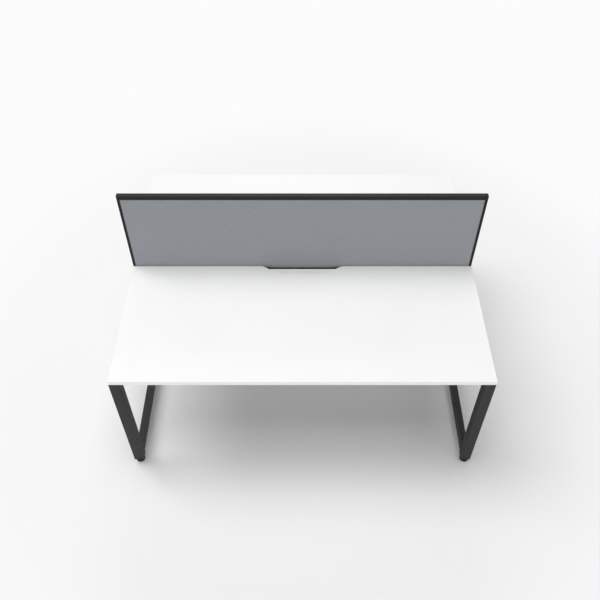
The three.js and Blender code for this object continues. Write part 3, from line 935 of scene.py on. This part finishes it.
def member_section(face):
    """A frame member's section: x across the screen, y in from the outer face."""
    _, size = middle_and_size("screen_top_rail")
    half = size.y / 2
    groove = half - FRAME_FLANGE
    corners = [
        (-half, 0),
        (half, 0),
        (half, face),
        (groove, face),
        (groove, FRAME_WEB),
        (-groove, FRAME_WEB),
        (-groove, face),
        (-half, face),
    ]
    outer = FRAME_OUTER_RADIUS
    lip = FRAME_LIP_RADIUS
    return eased_outline(corners, [outer, outer, lip, lip, lip, lip, lip, lip])


def build_screen_frame():
    _, rail_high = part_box("screen_top_rail")
    stile_low, stile_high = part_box("screen_right_stile")
    half = rail_high.x - FRAME_MITRE_GAP
    top = stile_high.z
    base = stile_low.z
    rails = (("top", FRAME_TOP_FACE, top, -1), ("bottom", FRAME_BOTTOM_FACE, base, 1))
    for level, face, outer, inward in rails:
        slope = FRAME_STILE_FACE / face
        rings = [
            [
                (end * (half - deep * slope), across, outer + inward * deep)
                for across, deep in member_section(face)
            ]
            for end in ENDS.values()
        ]
        mesh = lofted(f"screen_{level}_member", rings, FRAME_RAIL)
        put(f"screen_{level}_member", mesh, "desk", "screen_frame", [f"screen_{level}_rail"])
    ends = ((base, FRAME_BOTTOM_FACE, 1), (top, FRAME_TOP_FACE, -1))
    rings = [
        [
            (stile_high.x - deep, across, outer + inward * deep * face / FRAME_STILE_FACE)
            for across, deep in member_section(FRAME_STILE_FACE)
        ]
        for outer, face, inward in ends
    ]
    stile = lofted("screen_stile", rings, FRAME_STILE)
    for end, sign in ENDS.items():
        turn = (0, 0, 0 if sign > 0 else HALF_TURN)
        node_name = f"screen_{end}_stile"
        put(f"screen_{end}_member", stile, "desk", "screen_frame", [node_name], turn=turn)


def fabric_lines(low, high, first_lip, last_lip):
    """Places across the fabric from edge to edge, each with its share of the crown's rise.

    The fabric is flat behind the frame's lips and rises over a short run inside them.
    """
    run = [FABRIC_CROWN_RUN * i / FABRIC_EDGE_STEPS for i in range(FABRIC_EDGE_STEPS + 1)]
    rises = [math.sin(QUARTER_TURN * along / FABRIC_CROWN_RUN) for along in run]
    start = first_lip + FABRIC_CROWN_RUN
    end = last_lip - FABRIC_CROWN_RUN
    count = round((end - start) / FABRIC_FIELD_STEP)
    field = [(start + (end - start) * i / count, 1) for i in range(1, count)]
    entry = [(first_lip + along, rise) for along, rise in zip(run, rises)]
    leave = [(last_lip - along, rise) for along, rise in zip(run, rises)]
    return [(low, 0), *entry, *field, *reversed(leave), (high, 0)]


def fabric_mesh(name, node_name):
    """Foam-backed fabric, tucked behind the frame's lips and crowned between them."""
    low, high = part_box(node_name)
    stile_low, stile_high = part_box("screen_right_stile")
    opening = stile_high.x - FRAME_STILE_FACE
    columns = fabric_lines(low.x, high.x, -opening, opening)
    sill = stile_low.z + FRAME_BOTTOM_FACE
    head = stile_high.z - FRAME_TOP_FACE
    rows = fabric_lines(low.z, high.z, sill, head)
    bm = bmesh.new()
    grid = []
    for x, x_rise in columns:
        column = []
        for z, z_rise in rows:
            column.append(bm.verts.new((x, low.y - FABRIC_CROWN * x_rise * z_rise, z)))
        grid.append(column)
    for left, right in zip(grid, grid[1:]):
        for i in range(len(rows) - 1):
            bm.faces.new((left[i], right[i], right[i + 1], left[i + 1]))
    rim = [column[0] for column in grid] + grid[-1][1:]
    rim += [column[-1] for column in reversed(grid[:-1])] + grid[0][-2:0:-1]
    back = [bm.verts.new((corner.co.x, high.y, corner.co.z)) for corner in rim]
    for i, corner in enumerate(rim):
        bm.faces.new((rim[i - 1], corner, back[i], back[i - 1]))
    bm.faces.new(back)
    return mesh_of(bm, name, FABRIC)


def build_fabric():
    mesh = fabric_mesh("screen_cloth", "screen_front_fabric")
    for side, sign in SIDES.items():
        turn = (0, 0, 0 if sign < 0 else HALF_TURN)
        node_name = f"screen_{side}_fabric"
        cloth = put(f"screen_{side}_cloth", mesh, "desk", "fabric", [node_name], turn=turn)


def build_brackets():
    _, size = middle_and_size("left_screen_bracket")
    screw_x = size.x / 2 - BRACKET_SCREW_MARGIN
    screw_y = size.y / 2 - BRACKET_SCREW_MARGIN
    spots = [(x, y) for x in (-screw_x, screw_x) for y in (-screw_y, screw_y)]
    outlines = [lambda inset: eased_rectangle(size.x, size.y, BRACKET_CORNER_RADIUS, inset)]
    outlines.append(hole(0, 0, BRACKET_BOLT["shank"] + BOLT_HOLE_CLEARANCE))
    outlines += [hole(x, y, SCREW_HOLE_RADIUS) for x, y in spots]
    bm = bmesh.new()
    add_plate(bm, outlines, size.z, Matrix())
    plate = mesh_of(bm, "bridge_plate", POWDER)
    screw = bpy.data.meshes["wood_screw"]
    bolt = bolt_mesh("bracket_bolt", "left_screen_bracket_bolt", BRACKET_BOLT)
    for end in ENDS:
        middle, _ = middle_and_size(f"{end}_screen_bracket")
        under = middle.z - size.z / 2
        at = (middle.x, middle.y, under)
        put(f"{end}_bridge_plate", plate, "desk", "powder_coat", [f"{end}_screen_bracket"], at)
        for i, (x, y) in enumerate(spots, 1):
            at = (middle.x + x, middle.y + y, under)
            put(f"{end}_bridge_screw_{i}", screw, "desk", "zinc", at=at, turn=(HALF_TURN, 0, 0))
        bolt_node = f"{end}_screen_bracket_bolt"
        low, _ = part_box(bolt_node)
        at = (middle.x, middle.y, low.z + BRACKET_BOLT["height"])
        put(f"{end}_bridge_bolt", bolt, "desk", "zinc", [bolt_node], at, (HALF_TURN, 0, 0))


def finish_hidden_nodes():
    """Finishes for the CAD nodes that stay: plugs in the posts, and what is inside the screen."""
    finishes = {"screen_core_board": CORE}
    for end in ENDS:
        for side in SIDES:
            finishes[f"{end}_{side}_post_plug"] = PLASTIC
        for level in ("top", "bottom"):
            finishes[f"screen_{end}_{level}_key"] = ZINC
    for name, material in finishes.items():
        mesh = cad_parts[name].data
        mesh.materials.clear()
        mesh.materials.append(material)


build_worktops()
build_end_frames()
build_beams()
build_feet()
build_screen_frame()
build_fabric()
build_brackets()
finish_hidden_nodes()


# Floor, light and camera

FLOOR_REACH = 40.0
FLOOR_ROUGHNESS = (0.85, 0.95)
FLOOR_GRAIN = 300
FLOOR_GRAIN_DEPTH = 0.02 * MM
FLOOR_CLOUDS = 0.8
FLOOR_LOW = (0.84, 0.84, 0.84)
FLOOR_HIGH = (0.86, 0.86, 0.86)
FLOOR_FADE = (1.5, 2.7)
AMBIENT = 0.233
BACKDROP = 0.97
LAMPS = {
    "overhead": {"place": (0, -2, 24), "size": 15.4, "power": 2440.0},
    "left": {"place": (-12, 4.2, 21.6), "size": 12.0, "power": 2285.0},
    "rear": {"place": (0, 21, 14.5), "size": 8.0, "power": 660.0},
    "rear_left": {"place": (-4.7, 6.5, 23.7), "size": 8.0, "power": 240.0},
    "front": {"place": (0, -26, 5.5), "size": 7.0, "power": 2200.0},
}
CAMERA_PLACE = (0, -2.6227, 3.4127)
CAMERA_PITCH = 48.356
CAMERA_LENS = 42.07
CAMERA_SHIFT_PIXELS = -2.3
PICTURE_WIDTH_PIXELS = 600


def seen_directly(tree):
    """1 for what the camera, a reflection or a clear piece shows, 0 for light on other surfaces."""
    rays = tree.nodes.new("ShaderNodeLightPath").outputs
    mirrored = maths(tree, "MAXIMUM", rays["Is Glossy Ray"], rays["Is Transmission Ray"])
    return maths(tree, "MAXIMUM", rays["Is Camera Ray"], mirrored)


def floor_material():
    """A pale floor that runs into the white backdrop away from the desk, and is open from below."""
    material = surface(
        "floor_pale",
        FLOOR_LOW,
        FLOOR_HIGH,
        FLOOR_ROUGHNESS,
        FLOOR_GRAIN,
        FLOOR_GRAIN_DEPTH,
        FLOOR_CLOUDS,
    )
    tree = material.node_tree
    spot = tree.nodes.new("ShaderNodeNewGeometry").outputs
    reach = node(tree, "ShaderNodeVectorMath", None, {0: spot["Position"]}, operation="LENGTH")
    near, far = FLOOR_FADE
    fade = node(
        tree,
        "ShaderNodeMapRange",
        {"From Min": near, "From Max": far},
        {"Value": reach.outputs["Value"]},
        interpolation_type="SMOOTHSTEP",
    ).outputs[0]
    share = maths(tree, "MULTIPLY", fade, seen_directly(tree))
    white = node(tree, "ShaderNodeEmission", {"Strength": BACKDROP})
    lit = tree.nodes["Principled BSDF"].outputs[0]
    upper = node(tree, "ShaderNodeMixShader", None, {0: share, 1: lit, 2: white.outputs[0]})
    clear = tree.nodes.new("ShaderNodeBsdfTransparent")
    wires = {0: spot["Backfacing"], 1: upper.outputs[0], 2: clear.outputs[0]}
    both = node(tree, "ShaderNodeMixShader", None, wires)
    tree.links.new(both.outputs[0], tree.nodes["Material Output"].inputs["Surface"])
    return material


def build_floor():
    mesh = bpy.data.meshes.new("floor")
    corners = [(x, y, 0) for x, y in rectangle(2 * FLOOR_REACH, 2 * FLOOR_REACH)]
    mesh.from_pydata(corners, [], [(0, 1, 2, 3)])
    mesh.materials.append(floor_material())
    floor = bpy.data.objects.new("floor", mesh)
    bpy.context.scene.collection.objects.link(floor)


def build_light():
    world = bpy.data.worlds.new("studio")
    bpy.context.scene.world = world
    world.use_nodes = True
    tree = world.node_tree
    shader = tree.nodes["Background"]
    shader.inputs["Color"].default_value = (1, 1, 1, 1)
    values = {"To Min": AMBIENT, "To Max": BACKDROP}
    level = node(tree, "ShaderNodeMapRange", values, {"Value": seen_directly(tree)})
    tree.links.new(level.outputs[0], shader.inputs["Strength"])
    for name, lamp in LAMPS.items():
        light = bpy.data.lights.new(name, "AREA")
        light.shape = "SQUARE"
        light.size = lamp["size"]
        light.energy = lamp["power"]
        holder = bpy.data.objects.new(name, light)
        holder.location = lamp["place"]
        holder.rotation_euler = (-Vector(lamp["place"])).to_track_quat("-Z", "Y").to_euler()
        holder.visible_camera = False
        bpy.context.scene.collection.objects.link(holder)


def build_camera():
    lens = bpy.data.cameras.new("camera")
    lens.lens = CAMERA_LENS
    lens.shift_x = CAMERA_SHIFT_PIXELS / PICTURE_WIDTH_PIXELS
    camera = bpy.data.objects.new("camera", lens)
    camera.location = CAMERA_PLACE
    camera.rotation_euler = (QUARTER_TURN - math.radians(CAMERA_PITCH), 0, 0)
    bpy.context.scene.collection.objects.link(camera)
    bpy.context.scene.camera = camera


build_floor()
build_light()
build_camera()
bpy.context.scene.view_settings.view_transform = "Standard"
